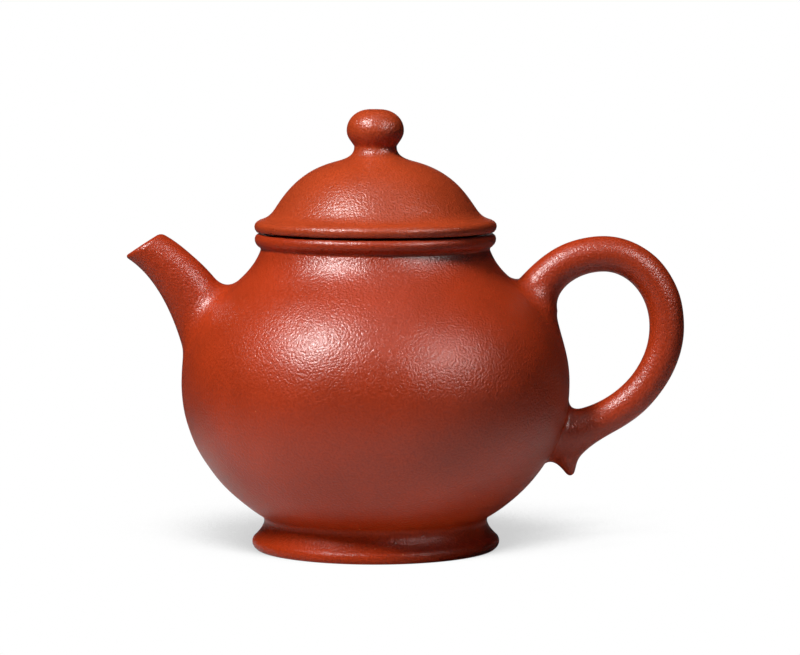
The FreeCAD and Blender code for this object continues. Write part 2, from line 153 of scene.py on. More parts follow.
# Handle
HANDLE_RISE = 12.4
HANDLE_ROOT_RISE = 17.3
HANDLE_ROOT_SINK = 2.0
HANDLE_ROOT_RUN = 8.0
HANDLE_TOP_REACH = 7.1
HANDLE_TOP_HEIGHT = 15.6
HANDLE_REACH = 20.9
HANDLE_LOW_INSET = 5.1
HANDLE_DROP = 22.8
HANDLE_TOP_HALF = 4.05
HANDLE_END_HALF = 3.65
HANDLE_ROOT_FLARE = 1.6
HANDLE_ROOT_FLARE_FROM = 120
HANDLE_ROOT_FLARE_SPAN = 40
HANDLE_FIRST_ANGLE = 180
HANDLE_LAST_ANGLE = -88
HANDLE_TAPER_SPAN = 270
HANDLE_END_REACH = 0.5
HANDLE_TOP_FILLET = 1.6
HANDLE_INNER_FILLET = 3.6
HANDLE_LOW_FILLET = 3.4
HANDLE_SIDE_FILLET = 4.0
HANDLE_FILLET_RISE = 7.0

# Tail under the lower end of the handle; its shares count from the tip up along its length
TAIL_TIP_REACH = 0.15
TAIL_TIP_DROP = 20.2
TAIL_TIP_HALF = 0.6
TAIL_LENGTH = 9.5
TAIL_LEAN = 1.2
TAIL_LEAN_SHARE = 0.5
TAIL_TOP_SHARE = 1.15
TAIL_WIDEST_SHARE = 1.3
TAIL_HALF_DEPTH = 6.0
TAIL_HALF_WIDTH = 3.2
TAIL_FILLET = 5.0
TAIL_SIDE_FILLET = 1.5
TAIL_TIP_ROUND = 0.8
TAIL_TOP_ROUND = 4.0

# Curves: how far a smooth one keeps to its headings, as a share of its span, and the points of each kind
CURVE_PULL = 0.39
CURVE_POINTS = 97
ARC_POINTS = 33
OVAL_POINTS = 241
BEND_POINTS = 9
FIELD_POINTS = 1200
SPOUT_POINTS = 400
HANDLE_POINTS = 269

# Turned meshes
TURNS = 256
RING_STEP = 0.6
SEAM_STEP = 0.06
SEAM_STEP_SHARE = 0.125
SEAM_FADE = 1.0
SAME_SPOT = 1e-6
BASE_HAIR = 0.01
SHARP_ANGLE = 50

# Meshes made from fields on a grid, which reaches some way past the node
GRID_STEP = 0.35
SPOUT_MARGIN = 7
SPOUT_SKIRT = 9.0
HANDLE_MARGIN = 8
SEAT_DEPTH = 1.0
SEAT_GAP = 0.012
OPENING_PASSES = 4
OPENED_VALUE = 0.01
SKIN_PASSES = 2
RELAX_SHARE = 0.5
SETTLE_PASSES = 2
SLOPE_STEP = 0.02
LEAST_SLOPE = 0.05
LONGEST_SHIFT = 0.5 * GRID_STEP
OVAL_CORE = 0.2
COURSE_POSTS = 140
COURSE_BATCH = 100000
COURSE_STEPS = 3


# Outlines, as rows of radius and level

def ease(share):
    share = np.clip(share, 0, 1)
    return share * share * (3 - 2 * share)


def between(low, high, share):
    return low + (high - low) * share


def heading(degrees):
    angle = math.radians(degrees)
    return np.array([math.cos(angle), math.sin(angle)])


def straight(start, end):
    return np.linspace(start, end, 2)


def smooth(start, start_degrees, end, end_degrees):
    """Smooth curve that leaves one point and reaches another along the given headings."""
    start, end = np.array(start, float), np.array(end, float)
    pull = CURVE_PULL * np.linalg.norm(end - start)
    first = start + heading(start_degrees) * pull
    second = end - heading(end_degrees) * pull
    t = np.linspace(0, 1, CURVE_POINTS)[:, None]
    return start * (1 - t) ** 3 + 3 * first * t * (1 - t) ** 2 + 3 * second * t ** 2 * (1 - t) + end * t ** 3


def arc(start, middle, end):
    """Circle arc through three points."""
    a, b, c = [complex(*point) for point in (start, middle, end)]
    w = (c - a) / (b - a)
    centre = (b - a) * (w - abs(w) ** 2) / (2j * w.imag) + a
    turn = np.angle((c - centre) / (b - centre)) + np.angle((b - centre) / (a - centre))
    spots = centre + (a - centre) * np.exp(1j * turn * np.linspace(0, 1, ARC_POINTS))
    return np.stack([spots.real, spots.imag], axis=1)


def oval_arc(radius, half_height, level, start, end):
    """Arc of an oval about the axis between two of its angles in radians."""
    angle = np.linspace(start, end, OVAL_POINTS)
    return np.stack([radius * np.cos(angle), level + half_height * np.sin(angle)], axis=1)


def run_length(points):
    return np.concatenate([[0], np.cumsum(np.linalg.norm(np.diff(points, axis=0), axis=1))])


def along(points, distances):
    """Points at the given distances along a row of points."""
    length = run_length(points)
    return np.stack([np.interp(distances, length, column) for column in points.T], axis=1)


def trimmed(points, start, end):
    """A row of points with a length cut off each end."""
    length = run_length(points)
    inner = points[(length > start) & (length < length[-1] - end)]
    first, last = along(points, [start, length[-1] - end])
    return np.vstack([first, inner, last])


def rounded(before, after, radius):
    """Two rows of points that meet in a corner, joined by a soft bend."""
    corner = after[0]
    before = trimmed(before, 0, radius)
    after = trimmed(after, radius, 0)
    t = np.linspace(0, 1, BEND_POINTS)[1:-1, None]
    bend = before[-1] * (1 - t) ** 2 + 2 * corner * t * (1 - t) + after[0] * t ** 2
    return np.vstack([before, bend, after])


def chain(*rows):
    """Rows of points joined end to end; a number between two rows rounds that corner."""
    joined = rows[0]
    radius = 0.0
    for row in rows[1:]:
        if np.isscalar(row):
            radius = row
            continue
        joined = rounded(joined, row, radius) if radius else np.vstack([joined, row[1:]])
        radius = 0.0
    return joined


def spaced(points):
    """The same row with even steps, and a short step at each end to hold the seam."""
    length = run_length(points)[-1]
    count = max(2, round(length / RING_STEP))
    distances = np.linspace(0, length, count + 1)
    hold = min(SEAM_STEP, SEAM_STEP_SHARE * length)
    return along(points, np.concatenate([[0, hold], distances[1:-1], [length - hold, length]]))


def span(outline, low, high):
    """The stretch of a rising outline between two levels."""
    inner = outline[(outline[:, 1] > low) & (outline[:, 1] < high)]
    first, last = [[np.interp(level, outline[:, 1], outline[:, 0]), level] for level in (low, high)]
    return np.vstack([first, inner, last])


# Globe of the body

UPPER_HALF = (SHOULDER_LEVEL - BELLY_LEVEL) / math.sqrt(1 - (SHOULDER_RADIUS / BELLY_RADIUS) ** 2)
LOWER_HALF = (BELLY_LEVEL - FOOT_LEVEL) / math.sqrt(1 - (WAIST_RADIUS / BELLY_RADIUS) ** 2)


def globe_half(level):
    return UPPER_HALF if level >= BELLY_LEVEL else LOWER_HALF


def globe_radius(level, depth=0.0):
    share = (level - BELLY_LEVEL) / (globe_half(level) - depth)
    return (BELLY_RADIUS - depth) * math.sqrt(1 - share ** 2)


def globe_lean(level):
    """Angle of the wall's outward direction above the horizontal."""
    upward = (level - BELLY_LEVEL) / globe_half(level) ** 2
    outward = globe_radius(level) / BELLY_RADIUS ** 2
    return math.degrees(math.atan2(upward, outward))


def globe_arc(low, high, depth=0.0):
    half = globe_half((low + high) / 2) - depth
    start, end = [math.asin((level - BELLY_LEVEL) / half) for level in (low, high)]
    return oval_arc(BELLY_RADIUS - depth, half, BELLY_LEVEL, start, end)


def pot_outline():
    """Outer outline of the pot from the table up to the mouth's top edge."""
    tread = (FOOT_RADIUS - FOOT_EDGE_ROUND, 0)
    edge = (FOOT_RADIUS - FOOT_EDGE_INSET, FOOT_EDGE_HEIGHT)
    waist = (WAIST_RADIUS, FOOT_LEVEL)
    crease = (NECK_RADIUS, NECK_LEVEL + CREASE_RISE)
    widest = (RIM_RADIUS, NECK_LEVEL + RIM_BULGE_RISE)
    top = (RIM_RADIUS - RIM_EDGE_ROUND, RIM_LEVEL)
    globe = chain(globe_arc(FOOT_LEVEL, BELLY_LEVEL), globe_arc(BELLY_LEVEL, SHOULDER_LEVEL))
    lean = globe_lean(SHOULDER_LEVEL)
    foot_edge = arc(tread, (FOOT_RADIUS, FOOT_EDGE_HEIGHT / 2), edge)
    foot = chain(foot_edge, smooth(edge, FOOT_FLARE_ANGLE, waist, 90))
    body = chain(globe, smooth(globe[-1], lean + 90, crease, NECK_TOP_ANGLE))
    rim = chain(smooth(crease, RIM_BULGE_ANGLE, widest, 90), smooth(widest, 90, top, RIM_EDGE_ANGLE))
    return chain(foot, WAIST_ROUND, body, CREASE_ROUND, rim)


def pot_hollow():
    """Inner outline of the pot from the middle of the base up to the mouth's inner edge."""
    corner = (globe_radius(BASE_LEVEL, WALL), BASE_LEVEL)
    shoulder = (globe_radius(SHOULDER_LEVEL, WALL), SHOULDER_LEVEL)
    throat = (MOUTH_RADIUS, NECK_LEVEL - MOUTH_DEPTH)
    wall = chain(globe_arc(BASE_LEVEL, BELLY_LEVEL, WALL), globe_arc(BELLY_LEVEL, SHOULDER_LEVEL, WALL))
    neck = smooth(shoulder, globe_lean(SHOULDER_LEVEL) + 90, throat, 90)
    return chain(
        straight((0, BASE_LEVEL), corner),
        BASE_CORNER_ROUND,
        chain(wall, neck, straight(throat, (MOUTH_RADIUS, RIM_LEVEL))))


def lid_outline():
    """Outer outline of the lid from the rim's lower edge up to the vent."""
    edge = LID_RIM_RADIUS - LID_RIM_ROUND
    low, high = (LID_RIM_RADIUS - LID_RIM_UNDER, SEAT_LEVEL + LID_GAP), (edge, LID_RIM_LEVEL)
    widest = (LID_RIM_RADIUS, (SEAT_LEVEL + LID_GAP + LID_RIM_LEVEL) / 2)
    spring = (edge - LID_FLARE_WIDTH, LID_RIM_LEVEL + LID_FLARE_HEIGHT)
    crown = (LID_TOP_RADIUS - LID_TOP_TRIM, LID_TOP_LEVEL)
    throat = (KNOB_NECK_RADIUS, KNOB_SEAT_LEVEL - KNOB_COLLAR_HEIGHT)
    seat = (KNOB_NECK_RADIUS, KNOB_SEAT_LEVEL)
    belly = (KNOB_RADIUS, KNOB_SEAT_LEVEL + KNOB_LOWER_HEIGHT)
    top = (VENT_RADIUS, KNOB_TOP_LEVEL)
    bell = chain(
        smooth(high, LID_FLARE_ANGLE, spring, LID_SLOPE_ANGLE),
        smooth(spring, LID_SLOPE_ANGLE, crown, LID_TOP_ANGLE),
        smooth(crown, LID_TOP_ANGLE, throat, 90),
        straight(throat, seat))
    ball = chain(smooth(seat, KNOB_LOWER_ANGLE, belly, 90), smooth(belly, 90, top, 180))
    return chain(arc(low, widest, high), LID_RIM_EDGE_ROUND, bell, CREASE_ROUND, ball)


POT_OUTLINE = pot_outline()
POT_HOLLOW = pot_hollow()
LID_OUTLINE = lid_outline()


# Hand-made unevenness: slow waves through space that all the pieces share

def waves(count, shortest, longest, depth, seed):
    """Directions, phases and depth of waves drawn by chance, with a seed that keeps them the same."""
    draw = np.random.default_rng(seed)
    ways = draw.normal(size=(count, 3))
    ways /= np.linalg.norm(ways, axis=1)[:, None]
    lengths = draw.uniform(shortest, longest, count)
    phases = draw.uniform(0, 2 * math.pi, count)
    return ways * (2 * math.pi / lengths[:, None]), phases, depth * math.sqrt(2 / count)


HAND_WAVES = [
    waves(count=9, shortest=18, longest=50, depth=0.07, seed=277),
    waves(count=9, shortest=6, longest=11, depth=0.018, seed=1277),
]


def unevenness(points):
    """How far the hand-made surface stands out from the true one."""
    total = np.zeros(points.shape[:-1])
    for ways, phases, depth in HAND_WAVES:
        for way, phase in zip(ways, phases):
            total += depth * np.sin(points @ way + phase)
    return total * ease(points[..., 2] / FOOT_EDGE_HEIGHT)


# Meshes

def add_piece(name, points, faces):
    """Smooth-shaded mesh object from corners in millimetres."""
    mesh = bpy.data.meshes.new(name)
    mesh.from_pydata((np.asarray(points) * MM).tolist(), [], faces)
    mesh.validate()
    mesh.shade_smooth()
    mesh.set_sharp_from_angle(angle=math.radians(SHARP_ANGLE))
    piece = bpy.data.objects.new(name, mesh)
    bpy.context.scene.collection.objects.link(piece)
    return piece


def outward(outline):
    """Directions to the right of a row of points."""
    step = np.gradient(outline, axis=0)
    step /= np.linalg.norm(step, axis=1)[:, None]
    return np.stack([step[:, 1], -step[:, 0]], axis=1)


def seam_ways(row, outer, ways):
    """Directions that carry the outer row's unevenness a little way into the seams at its ends."""
    below = 1 - ease(np.linalg.norm(row - outer[0], axis=1) / SEAM_FADE)
    above = 1 - ease(np.linalg.norm(row - outer[-1], axis=1) / SEAM_FADE)
    return below[:, None] * ways[0] + above[:, None] * ways[-1]


def turned(name, outer, rest):
    """Piece turned about the axis, with an outer row that is uneven by hand and rows that close the loop."""
    outer = spaced(outer)
    rows = [spaced(row) for row in rest]
    ways = outward(outer)
    normals = np.vstack([ways] + [seam_ways(row, outer, ways) for row in rows])
    loop = np.vstack([outer] + rows)
    apart = np.linalg.norm(np.diff(loop, axis=0), axis=1) > SAME_SPOT
    keep = np.concatenate([[True], apart])
    keep[-1] &= np.linalg.norm(loop[-1] - loop[0]) > SAME_SPOT
    loop, normals = loop[keep], normals[keep]
    angle = np.arange(TURNS) * (2 * math.pi / TURNS)
    around = np.stack([np.cos(angle), np.sin(angle), np.zeros(TURNS)], axis=1)
    upward = np.array([0, 0, 1])
    points = loop[:, None, :1] * around + loop[:, None, 1:] * upward
    shifts = normals[:, None, :1] * around + normals[:, None, 1:] * upward
    points = points + shifts * unevenness(points)[..., None]
    return add_piece(name, *turned_faces(points, loop[:, 0] < SAME_SPOT))


def walled(name, outer, inner):
    """Turned piece between an outer row that rises and an inner row that falls."""
    return turned(name, outer, [straight(outer[-1], inner[0]), inner, straight(inner[-1], outer[0])])


def turned_faces(points, on_axis):
    """Corners and faces of rings of points, where a ring on the axis is one corner."""
    count = len(points)
    number = np.arange(count * TURNS).reshape(count, TURNS)
    number[on_axis] = number[on_axis][:, :1]
    faces = []
    for ring in range(count):
        after = (ring + 1) % count
        if on_axis[ring] and on_axis[after]:
            continue
        for turn in range(TURNS):
            beside = (turn + 1) % TURNS
            face = [number[ring, turn], number[ring, beside], number[after, beside], number[after, turn]]
            faces.append(list(dict.fromkeys(int(corner) for corner in face)))
    used = np.unique(number)
    order = np.full(count * TURNS, -1)
    order[used] = np.arange(len(used))
    return points.reshape(-1, 3)[used], [[int(order[corner]) for corner in face] for face in faces]


def skin_of(name, field, low, high):
    """Piece around the space where a field is below zero, with one corner for each crossed cell of a grid."""
    axes = [np.arange(start, end + GRID_STEP, GRID_STEP) for start, end in zip(low, high)]
    grid = np.stack(np.meshgrid(*axes, indexing="ij"), axis=-1)
    values = opened(field(grid))
    cells = np.array(values.shape) - 1
    total = np.zeros((*cells, 3))
    hits = np.zeros(cells)
    crossings = []
    for axis in range(3):
        lower = np.moveaxis(values, axis, 0)[:-1]
        upper = np.moveaxis(values, axis, 0)[1:]
        crossed = (lower < 0) != (upper < 0)
        share = np.where(crossed, lower / np.where(crossed, lower - upper, 1), 0)
        spots = np.moveaxis(grid, axis, 0)[:-1] + share[..., None] * (np.arange(3) == axis) * GRID_STEP
        crossings.append((crossed, lower < 0))
        total_view = np.moveaxis(total, axis, 0)
        hits_view = np.moveaxis(hits, axis, 0)
        rows, columns = hits_view.shape[1:]
        for i in (0, 1):
            for j in (0, 1):
                near = crossed[:, i:i + rows, j:j + columns]
                total_view += spots[:, i:i + rows, j:j + columns] * near[..., None]
                hits_view += near
    active = hits > 0
    number = np.full(cells, -1)
    number[active] = np.arange(active.sum())
    points = total[active] / hits[active][:, None]
    faces = np.vstack([crossing_faces(number, axis, *crossing) for axis, crossing in enumerate(crossings)])
    for _ in range(SKIN_PASSES):
        points = settled(field, relaxed(points, faces))
    return add_piece(name, points, faces.tolist())


def opened(values):
    """Field values where no two inner corners of the grid touch only across a diagonal."""
    values = values.copy()
    for _ in range(OPENING_PASSES):
        for axes in ((0, 1), (0, 2), (1, 2)):
            view = np.moveaxis(values, axes, (0, 1))
            a, b, c, d = view[:-1, :-1], view[1:, :-1], view[1:, 1:], view[:-1, 1:]
            a[(a < 0) & (c < 0) & (b >= 0) & (d >= 0)] = OPENED_VALUE
            b[(b < 0) & (d < 0) & (a >= 0) & (c >= 0)] = OPENED_VALUE
    return values


def crossing_faces(number, axis, crossed, rising):
    """One quad around each crossed edge of the grid along an axis, facing out of the space."""
    number = np.moveaxis(number, axis, 0)
    crossed, rising = crossed[:, 1:-1, 1:-1], rising[:, 1:-1, 1:-1]
    corners = [number[:, :-1, :-1], number[:, 1:, :-1], number[:, 1:, 1:], number[:, :-1, 1:]]
    quads, rising = np.stack(corners, axis=-1)[crossed], rising[crossed]
    if axis == 1:
        rising = ~rising
    quads[~rising] = quads[~rising][:, ::-1]
    return quads


def relaxed(points, faces):
    """Each corner moved part of the way to the middle of its neighbours."""
    total = np.zeros_like(points)
    count = np.zeros(len(points))
    for side in range(4):
        start, end = faces[:, side], faces[:, (side + 1) % 4]
        for near, far in ((start, end), (end, start)):
            np.add.at(total, near, points[far])
            np.add.at(count, near, 1)
    return points + RELAX_SHARE * (total / count[:, None] - points)


def settled(field, points):
    """Corners moved on to the surface where the field is zero."""
    for _ in range(SETTLE_PASSES):
        value = field(points)
        rises = [field(points + SLOPE_STEP * side) - value for side in np.eye(3)]
        slope = np.stack(rises, axis=1) / SLOPE_STEP
        size = np.maximum((slope ** 2).sum(axis=1), LEAST_SLOPE)
        shift = (value / size)[:, None] * slope
        far = np.maximum(np.linalg.norm(shift, axis=1) / LONGEST_SHIFT, 1)
        points = points - shift / far[:, None]
    return points


# Fields: below zero inside a form and about the distance from its surface outside

def merged(first, second, blend):
    """Union of two fields with a soft fillet between them."""
    near = np.clip(blend - np.abs(first - second), 0, None) / blend
    return np.minimum(first, second) - near ** 2 * blend / 4


def common(first, second, blend):
    """Overlap of two fields with a soft edge between them."""
    return -merged(-first, -second, blend)


FIELD_LEVELS = np.linspace(FOOT_LEVEL, RIM_LEVEL, FIELD_POINTS)
FIELD_RADII = np.interp(FIELD_LEVELS, POT_OUTLINE[:, 1], POT_OUTLINE[:, 0])
FIELD_SLOPES = np.gradient(FIELD_RADII, FIELD_LEVELS)


def pot_field(points):
    """Distance outside the pot's outer surface."""
    level = points[..., 2]
    radius = np.interp(level, FIELD_LEVELS, FIELD_RADII)
    slope = np.interp(level, FIELD_LEVELS, FIELD_SLOPES)
    return (np.hypot(points[..., 0], points[..., 1]) - radius) / np.sqrt(1 + slope ** 2)


class Course:
    """Middle line of a roll of clay in the plane of the spout and the handle."""

    def __init__(self, points, halves=None):
        self.length = run_length(points)
        self.points = points
        self.halves = halves
        self.ways = np.gradient(points, self.length, axis=0)
        self.posts = np.linspace(0, self.length[-1], COURSE_POSTS)

    def at(self, distance, columns):
        return np.stack([np.interp(distance, self.length, column) for column in columns.T], axis=-1)

    def nearest(self, points):
        """Distance along the course, distance to its left and distance past its end, for each point."""
        if points.ndim == 4:
            return [np.broadcast_to(part[:, None], points.shape[:-1]) for part in self.nearest(points[:, 0])]
        flat = points[..., [0, 2]].reshape(-1, 2)
        posts = self.at(self.posts, self.points)
        best = np.empty(len(flat))
        for start in range(0, len(flat), COURSE_BATCH):
            part = flat[start:start + COURSE_BATCH]
            gaps = (part[:, :1] - posts[:, 0]) ** 2 + (part[:, 1:] - posts[:, 1]) ** 2
            best[start:start + COURSE_BATCH] = self.posts[gaps.argmin(axis=1)]
        for _ in range(COURSE_STEPS):
            away = flat - self.at(best, self.points)
            best = np.clip(best + (away * self.at(best, self.ways)).sum(axis=1), 0, self.length[-1])
        away = flat - self.at(best, self.points)
        way = self.at(best, self.ways)
        side = away[:, 1] * way[:, 0] - away[:, 0] * way[:, 1]
        ahead = (away * way).sum(axis=1)
        return [part.reshape(points.shape[:-1]) for part in (best, side, ahead)]


def oval_field(side, width, half_side, half_width):
    """Distance outside an oval section."""
    reach = np.sqrt((side / half_side) ** 2 + (width / half_width) ** 2)
    slope = np.sqrt((side / half_side ** 2) ** 2 + (width / half_width ** 2) ** 2)
    least_slope = OVAL_CORE / np.maximum(half_side, half_width)
    return (reach - 1) * np.maximum(reach, OVAL_CORE) / np.maximum(slope, least_slope)


# Spout

SPOUT_ROOT = np.array([-globe_radius(BELLY_LEVEL + SPOUT_ROOT_RISE), BELLY_LEVEL + SPOUT_ROOT_RISE])
SPOUT_TIP = np.array([-BELLY_RADIUS - SPOUT_REACH, BELLY_LEVEL + SPOUT_TIP_RISE])


def spout_course():
    """Curve from beyond the tip to inside the wall."""
    bend = SPOUT_ROOT + heading(180 - SPOUT_ROOT_ANGLE) * SPOUT_ROOT_RUN
    t = np.linspace(SPOUT_COURSE_START, SPOUT_COURSE_END, SPOUT_POINTS)[:, None]
    return Course(SPOUT_TIP * (1 - t) ** 2 + bend * (2 * t * (1 - t)) + SPOUT_ROOT * t ** 2)


SPOUT_COURSE = spout_course()
SPOUT_STOPS = [SPOUT_COURSE.nearest(np.array([end[0], 0, end[1]]))[0] for end in (SPOUT_TIP, SPOUT_ROOT)]


def spout_field(points):
    """Horn of the spout with its bore, its lip and the soft bend at its root."""
    distance, side, _ = SPOUT_COURSE.nearest(points)
    share = (distance - SPOUT_STOPS[0]) / (SPOUT_STOPS[1] - SPOUT_STOPS[0])
    half_height = between(SPOUT_TIP_HALF_HEIGHT, SPOUT_ROOT_HALF_HEIGHT, share)
    half_width = between(SPOUT_TIP_HALF_WIDTH, SPOUT_ROOT_HALF_WIDTH, share)
    wall = between(SPOUT_TIP_WALL, SPOUT_ROOT_WALL, share)
    tube = oval_field(side, points[..., 1], half_height, half_width)
    bore = oval_field(side, points[..., 1], half_height - wall, half_width - wall)
    facing = heading(180 - SPOUT_MOUTH_ANGLE)
    beyond = (points[..., [0, 2]] - SPOUT_TIP) @ facing
    rough = unevenness(points)
    pot = pot_field(points) - rough
    beside = ease(np.abs(points[..., 1]) / half_width)
    upper = ease((points[..., 2] - SPOUT_ROOT[1]) / SPOUT_FILLET_RISE)
    fillet = between(between(SPOUT_LOW_FILLET, SPOUT_TOP_FILLET, upper), SPOUT_SIDE_FILLET, beside)
    horn = merged(pot + SEAT_GAP, tube - rough, fillet)
    horn = np.maximum(horn, np.maximum(-pot - SEAT_DEPTH, tube - fillet))
    return common(common(horn, beyond, SPOUT_LIP_ROUND), -bore, SPOUT_LIP_ROUND / 2)


# Handle

HANDLE_LEVEL = BELLY_LEVEL + HANDLE_RISE
HANDLE_ROOT_LEVEL = BELLY_LEVEL + HANDLE_ROOT_RISE


def handle_course():
    """Three oval arcs from inside the upper wall, over the top and round to inside the lower wall."""
    top_x = BELLY_RADIUS + HANDLE_TOP_REACH
    out_x = BELLY_RADIUS + HANDLE_REACH
    low_x = BELLY_RADIUS - HANDLE_LOW_INSET
    root_x = globe_radius(HANDLE_ROOT_LEVEL) - HANDLE_ROOT_SINK
    degrees = np.linspace(HANDLE_FIRST_ANGLE, HANDLE_LAST_ANGLE, HANDLE_POINTS)
    middle = np.where(degrees >= 0, top_x, low_x)
    width = np.where(degrees >= 90, top_x - root_x, out_x - middle)
    height = np.where(degrees >= 0, HANDLE_TOP_HEIGHT, HANDLE_DROP)
    ways = np.stack([np.cos(np.radians(degrees)), np.sin(np.radians(degrees))], axis=1)
    points = np.stack([middle + width * ways[:, 0], HANDLE_LEVEL + height * ways[:, 1]], axis=1)
    halves = between(HANDLE_TOP_HALF, HANDLE_END_HALF, (HANDLE_FIRST_ANGLE - degrees) / HANDLE_TAPER_SPAN)
    flare = np.clip((degrees - HANDLE_ROOT_FLARE_FROM) / HANDLE_ROOT_FLARE_SPAN, 0, 1)
    halves += HANDLE_ROOT_FLARE * flare ** 3
    points = np.vstack([points[0] - (0, HANDLE_ROOT_RUN), points])
    return Course(points, np.concatenate([halves[:1], halves]))


HANDLE_COURSE = handle_course()


def tail_field(points):
    """Pointed end of the roll, pressed down along the belly."""
    tip_x = BELLY_RADIUS + TAIL_TIP_REACH
    share = (points[..., 2] - BELLY_LEVEL + TAIL_TIP_DROP) / TAIL_LENGTH
    up = np.clip(share, 0, TAIL_WIDEST_SHARE)
    middle = tip_x - TAIL_LEAN * ease(up / TAIL_LEAN_SHARE)
    depth = between(TAIL_TIP_HALF, TAIL_HALF_DEPTH, up)
    width = between(TAIL_TIP_HALF, TAIL_HALF_WIDTH, np.sin(np.minimum(up, 1) * math.pi / 2))
    side = oval_field(points[..., 0] - middle, points[..., 1], depth, width)
    above = (share - TAIL_TOP_SHARE) * TAIL_LENGTH
    pointed = common(side, -share * TAIL_LENGTH, TAIL_TIP_ROUND)
    return common(pointed, above, TAIL_TOP_ROUND)


def handle_field(points):
    """Roll of the handle with its tail and the soft bends at its roots."""
    distance, side, ahead = HANDLE_COURSE.nearest(points)
    half = np.interp(distance, HANDLE_COURSE.length, HANDLE_COURSE.halves)
    roll = np.hypot(side, points[..., 1]) - half
    roll = np.maximum(roll, np.abs(ahead) - HANDLE_END_REACH)
    rough = unevenness(points)
    pot = pot_field(points) - rough
    level = points[..., 2]
    clay = merged(roll, tail_field(points), TAIL_FILLET) - rough
    beside = ease(np.abs(points[..., 1]) / HANDLE_TOP_HALF)
    low_fillet = between(HANDLE_LOW_FILLET, TAIL_SIDE_FILLET, beside)
    upper = ease((level - HANDLE_LEVEL) / HANDLE_FILLET_RISE)
    high_fillet = between(between(HANDLE_INNER_FILLET, HANDLE_TOP_FILLET, upper), HANDLE_SIDE_FILLET, beside)
    fillet = np.where(level < BELLY_LEVEL, low_fillet, high_fillet)
    whole = merged(pot + SEAT_GAP, clay, fillet)
    return np.maximum(whole, np.maximum(-pot - SEAT_DEPTH, clay - fillet))


# Pieces of the pot

def make_foot_ring():
    inner = FOOT_RADIUS - FOOT_EDGE_ROUND - FOOT_TREAD_WIDTH
    outer = span(POT_OUTLINE, 0, FOOT_LEVEL)
    inner_top, inner_low = (FOOT_INNER_RADIUS, FOOT_LEVEL), (inner, 0)
    side = chain(straight(inner_top, inner_low), EDGE_ROUND, straight(inner_low, outer[0]))
    return turned("foot_ring_clay", outer, [straight(outer[-1], inner_top), side])


def make_base_slab():
    outer = span(POT_OUTLINE, FOOT_LEVEL, BASE_LEVEL)
    top = straight(outer[-1], (0, BASE_LEVEL))
    bottom = straight((0, FOOT_LEVEL), outer[0])
    return turned("base_slab_clay", outer, [top, bottom])


def make_lower_wall():
    """Lower half of the globe, whose inner row starts a hair above the base, where the hollow rises."""
    outer = span(POT_OUTLINE, BASE_LEVEL, BELLY_LEVEL)
    rising = POT_HOLLOW[POT_HOLLOW[:, 1] > BASE_LEVEL]
    inner = span(rising, BASE_LEVEL + BASE_HAIR, BELLY_LEVEL)[::-1]
    top = straight(outer[-1], inner[0])
    bottom = straight((inner[-1][0], BASE_LEVEL), outer[0])
    return turned("lower_wall_clay", outer, [top, inner, bottom])


def make_upper_wall():
    outer = span(POT_OUTLINE, BELLY_LEVEL, SHOULDER_LEVEL)
    inner = span(POT_HOLLOW, BELLY_LEVEL, SHOULDER_LEVEL)[::-1]
    wall = walled("upper_wall_clay", outer, inner)
    way = heading(180 - globe_lean(SPOUT_ROOT[1])) * DRILL_WALLS * WALL
    near, far = SPOUT_ROOT - way, SPOUT_ROOT + way
    return pierced(wall, (near[0], 0, near[1]), (far[0], 0, far[1]), STRAINER_RADIUS)


def pierced(piece, start, end, radius):
    """The piece with a round hole cut through it between two points."""
    start, end = Vector(start) * MM, Vector(end) * MM
    drill = bmesh.new()
    place = Matrix.LocRotScale((start + end) / 2, (end - start).to_track_quat("Z", "Y"), None)
    bmesh.ops.create_cone(
        drill, cap_ends=True, segments=DRILL_SIDES, radius1=radius * MM, radius2=radius * MM,
        depth=(end - start).length, matrix=place)
    mesh = bpy.data.meshes.new("drill")
    drill.to_mesh(mesh)
    drill.free()
    cutter = bpy.data.objects.new("drill", mesh)
    bpy.context.scene.collection.objects.link(cutter)
    hole = piece.modifiers.new("hole", "BOOLEAN")
    hole.object = cutter
    hole.operation = "DIFFERENCE"
    hole.solver = "MANIFOLD"
    cut = piece.evaluated_get(bpy.context.evaluated_depsgraph_get())
    whole = piece.data
    piece.data = bpy.data.meshes.new_from_object(cut)
    piece.modifiers.clear()
    piece.data.name = whole.name
    bpy.data.objects.remove(cutter)
    bpy.data.meshes.remove(mesh)
    bpy.data.meshes.remove(whole)
    return piece


def make_shoulder_slab():
    outer = span(POT_OUTLINE, SHOULDER_LEVEL, NECK_LEVEL)
    inner = span(POT_HOLLOW, SHOULDER_LEVEL, NECK_LEVEL)[::-1]
    return walled("shoulder_slab_clay", outer, inner)


def make_mouth_rim():
    outer = span(POT_OUTLINE, NECK_LEVEL, RIM_LEVEL)
    inner_top, inner_low = (MOUTH_RADIUS, RIM_LEVEL), (MOUTH_RADIUS, NECK_LEVEL)
    top = chain(straight(outer[-1], inner_top), EDGE_ROUND, straight(inner_top, inner_low))
    return turned("mouth_rim_clay", outer, [top, straight(inner_low, outer[0])])


def make_lid_rim():
    """Ring that bears on the mouth's inner edge, with an open gap outside the bearing."""
    gap_level = SEAT_LEVEL + LID_GAP
    outer = span(LID_OUTLINE, gap_level, LID_RIM_LEVEL)
    inner_top, inner_low = (HOLLOW_RADIUS, LID_RIM_LEVEL), (HOLLOW_RADIUS, SEAT_LEVEL)
    bearing_radius = MOUTH_RADIUS + LID_BEARING_WIDTH
    bearing, step = (bearing_radius, SEAT_LEVEL), (bearing_radius, gap_level)
    inner = straight(inner_top, inner_low)
    under = chain(straight(inner_low, bearing), straight(bearing, step), straight(step, outer[0]))
    return turned("lid_rim_clay", outer, [straight(outer[-1], inner_top), inner, under])


